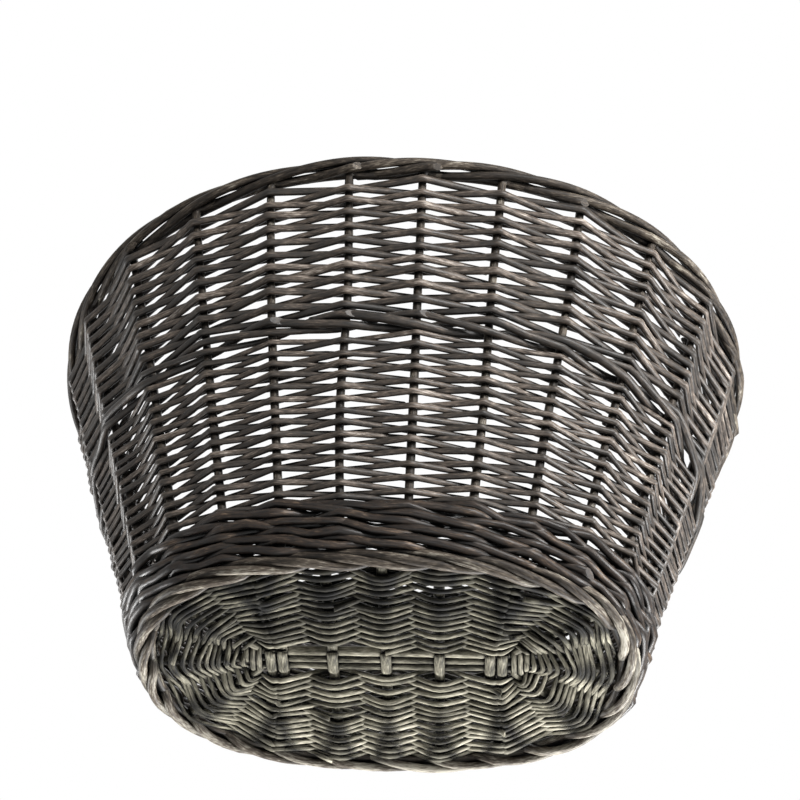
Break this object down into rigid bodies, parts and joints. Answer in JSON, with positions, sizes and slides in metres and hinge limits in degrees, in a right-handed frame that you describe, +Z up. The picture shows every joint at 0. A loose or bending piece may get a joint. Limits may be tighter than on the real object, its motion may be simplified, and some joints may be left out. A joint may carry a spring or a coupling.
{
  "type": "bicycle basket",
  "caption": "Oval woven willow bicycle basket with a small flat base, walls that flare up to a wide rim, a rod border at rim and foot, and a band of waling round the middle.",
  "frame": {"origin": "on the floor under the middle of the basket's box", "axes": "+Z up out of the mouth, +X along the long way of the oval, -Y towards the side that is woven higher"},
  "size_m": [0.4184, 0.3438, 0.2331],
  "materials": {
    "stake_willow": "satin",
    "weaver_willow": "satin",
    "base_willow": "satin"
  },
  "bodies": {
    "root": {"cross_stick_01": "base_willow", "cross_stick_02": "base_willow", "cross_stick_03": "base_willow", "cross_stick_04": "base_willow", "cross_stick_05": "base_willow", "cross_stick_06": "base_willow", "cross_stick_07": "base_willow", "long_stick_01": "base_willow", "long_stick_02": "base_willow", "long_stick_03": "base_willow", "base_weaver_01": "base_willow", "base_weaver_02": "base_willow", "stake_01": "stake_willow", "stake_02": "stake_willow", "stake_03": "stake_willow", "stake_04": "stake_willow", "stake_05": "stake_willow", "stake_06": "stake_willow", "stake_07": "stake_willow", "stake_08": "stake_willow", "stake_09": "stake_willow", "stake_10": "stake_willow", "stake_11": "stake_willow", "stake_12": "stake_willow", "stake_13": "stake_willow", "stake_14": "stake_willow", "stake_15": "stake_willow", "stake_16": "stake_willow", "stake_17": "stake_willow", "stake_18": "stake_willow", "stake_19": "stake_willow", "stake_20": "stake_willow", "stake_21": "stake_willow", "stake_22": "stake_willow", "stake_23": "stake_willow", "stake_24": "stake_willow", "stake_25": "stake_willow", "upsett_rod_01": "weaver_willow", "upsett_rod_02": "weaver_willow", "upsett_rod_03": "weaver_willow", "upsett_rod_04": "weaver_willow", "upsett_rod_05": "weaver_willow", "upsett_rod_06": "weaver_willow", "lower_randing_01": "weaver_willow", "lower_randing_02": "weaver_willow", "lower_randing_03": "weaver_willow", "lower_randing_04": "weaver_willow", "lower_randing_05": "weaver_willow", "middle_wale_rod_01": "weaver_willow", "middle_wale_rod_02": "weaver_willow", "middle_wale_rod_03": "weaver_willow", "upper_randing_01": "weaver_willow", "upper_randing_02": "weaver_willow", "upper_randing_03": "weaver_willow", "upper_randing_04": "weaver_willow"}
  },
  "joints": []
}
